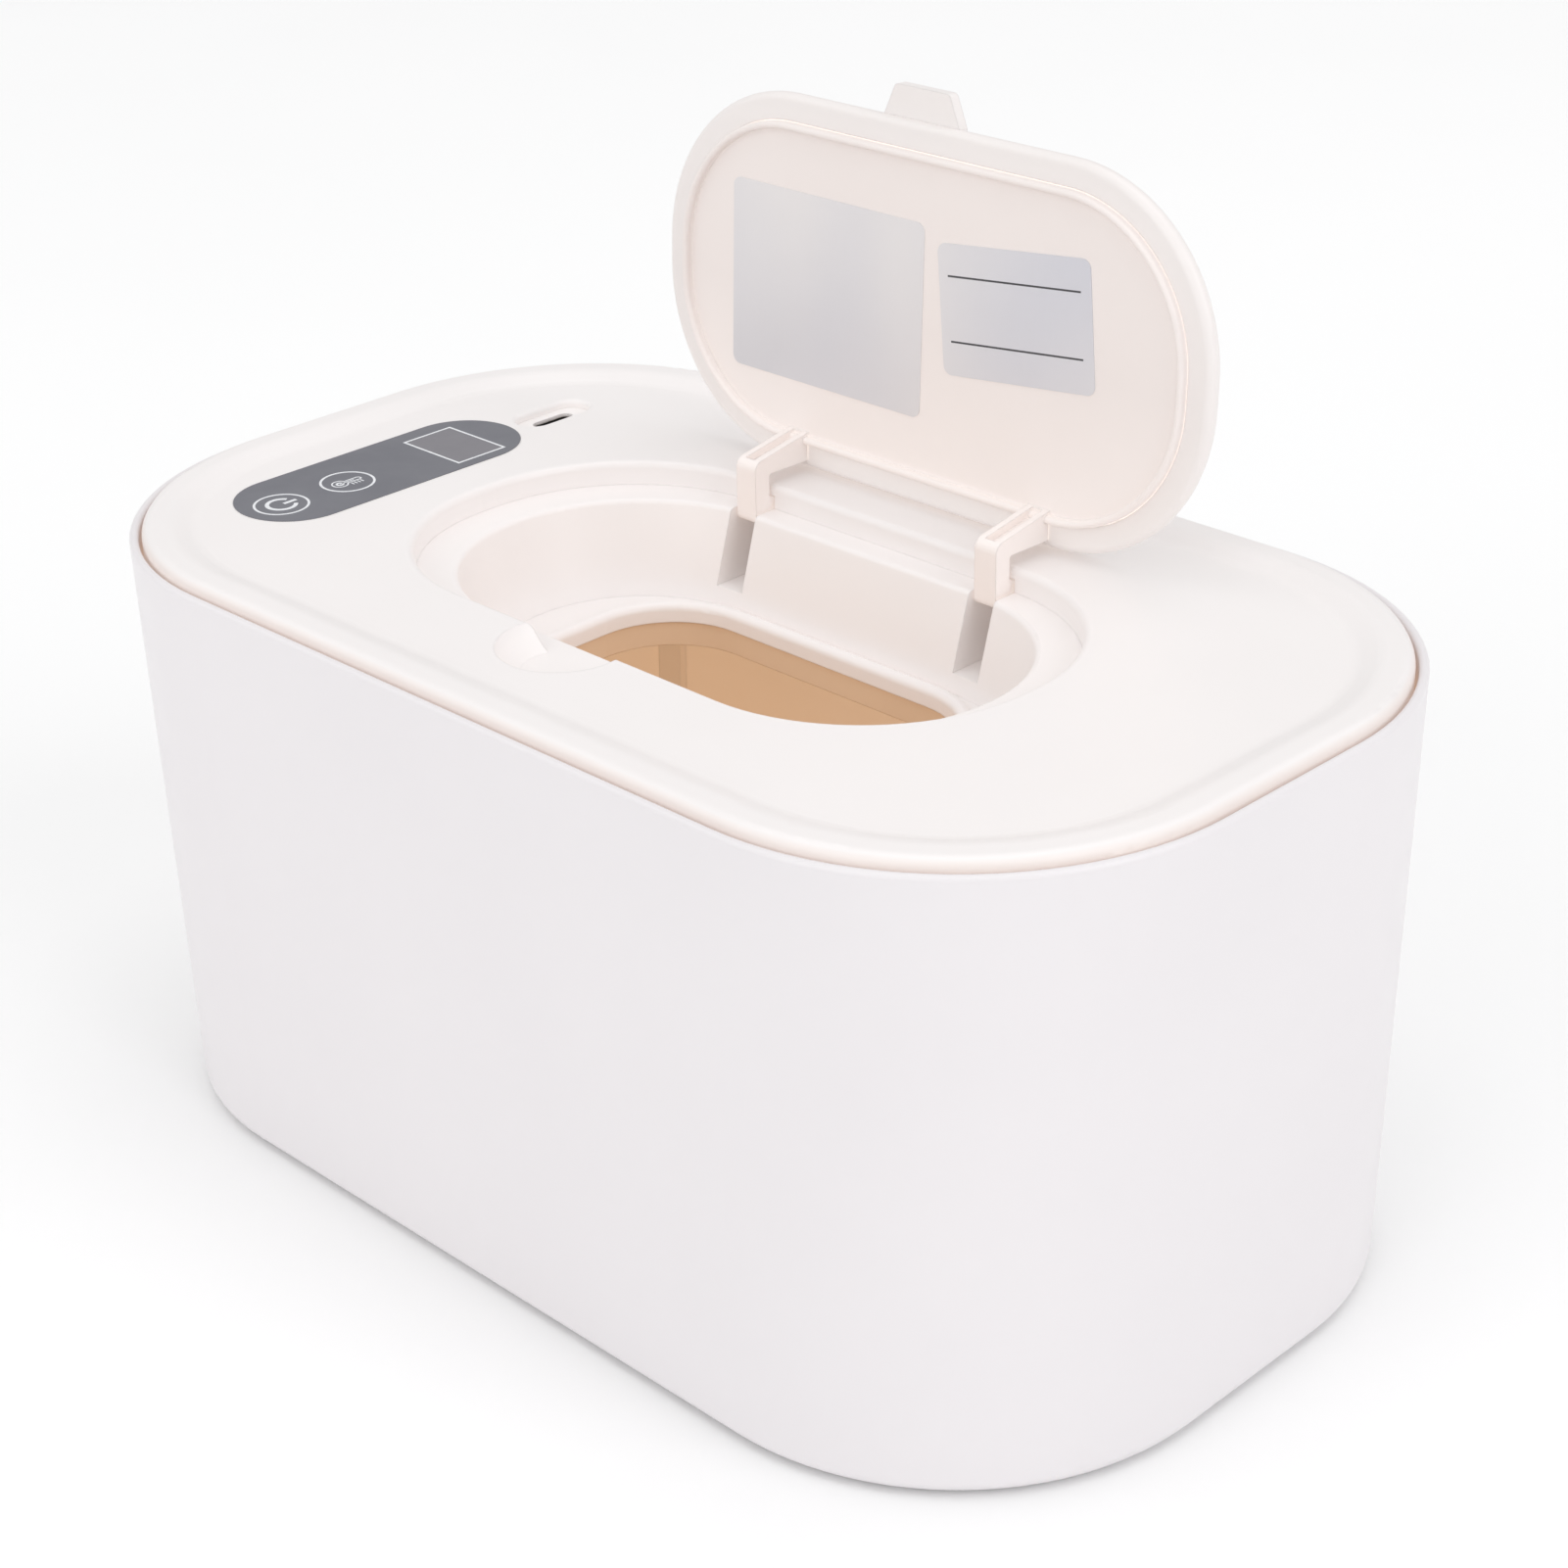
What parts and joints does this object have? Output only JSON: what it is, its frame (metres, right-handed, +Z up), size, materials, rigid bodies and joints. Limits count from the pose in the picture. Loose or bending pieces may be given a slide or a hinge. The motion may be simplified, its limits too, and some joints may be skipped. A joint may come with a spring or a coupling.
{
  "type": "baby wipe warmer",
  "caption": "Free-standing wipe warmer: tapered rounded-rectangle tub, inset cover with heated dispensing well, dark touch panel and inlet, and an oval flip lid standing open.",
  "frame": {"origin": "centre of the footprint, on the surface the feet stand on", "axes": "+X along the length, away from the control panel; +Y towards the lid's hinge; +Z up"},
  "size_m": [0.21, 0.1264, 0.1672],
  "materials": {
    "tub_white": "satin moulded ABS",
    "foot_grey": "matte",
    "cover_cream": "satin moulded ABS",
    "panel_grey": "matte overlay film",
    "display_black": "matte",
    "touch_foam": "conductive foam",
    "board_green": "solder mask",
    "screw_steel": "zinc plated",
    "socket_steel": "nickel plated",
    "socket_black": "matte",
    "housing_white": "matte moulded",
    "plate_aluminium": "rolled sheet",
    "film_amber": "polyimide film",
    "pad_foam": "closed-cell foam",
    "sensor_black": "epoxy bead",
    "fuse_white": "ceramic body",
    "lead_red": "silicone insulation",
    "pin_steel": "ground",
    "liner_cream": "satin moulded ABS",
    "label_silver": "silver film"
  },
  "bodies": {
    "body": {"body_shell": "tub_white", "foot_front_left": "foot_grey", "foot_front_right": "foot_grey", "foot_rear_left": "foot_grey", "foot_rear_right": "foot_grey"},
    "cover": {"top_cover": "cover_cream", "control_panel": "panel_grey", "display_module": "display_black", "touch_pad_power": "touch_foam", "touch_pad_temperature": "touch_foam", "control_board": "board_green", "board_screws": "screw_steel", "usb_socket_shell": "socket_steel", "usb_socket_tongue": "socket_black", "electronics_housing": "housing_white", "housing_screws": "screw_steel", "heater_frame": "housing_white", "frame_screws": "screw_steel", "heater_plate": "plate_aluminium", "heater_film": "film_amber", "insulation_pad": "pad_foam", "thermistor": "sensor_black", "thermal_fuse": "fuse_white", "heater_leads": "lead_red", "hinge_pin_left": "pin_steel", "hinge_pin_right": "pin_steel"},
    "flip_lid": {"lid_shell": "cover_cream", "lid_liner": "liner_cream", "label_large": "label_silver", "label_small": "label_silver"}
  },
  "joints": [
    {"name": "cover_lift", "type": "slide", "parent": "body", "child": "cover", "axis": [0, 0, 1], "range_m": [0, 0.06]},
    {"name": "lid_hinge", "type": "hinge", "parent": "cover", "child": "flip_lid", "pos_m": [0.001, 0.0345, 0.0951], "axis": [1, 0, 0], "range_deg": [0, 92.5]}
  ]
}
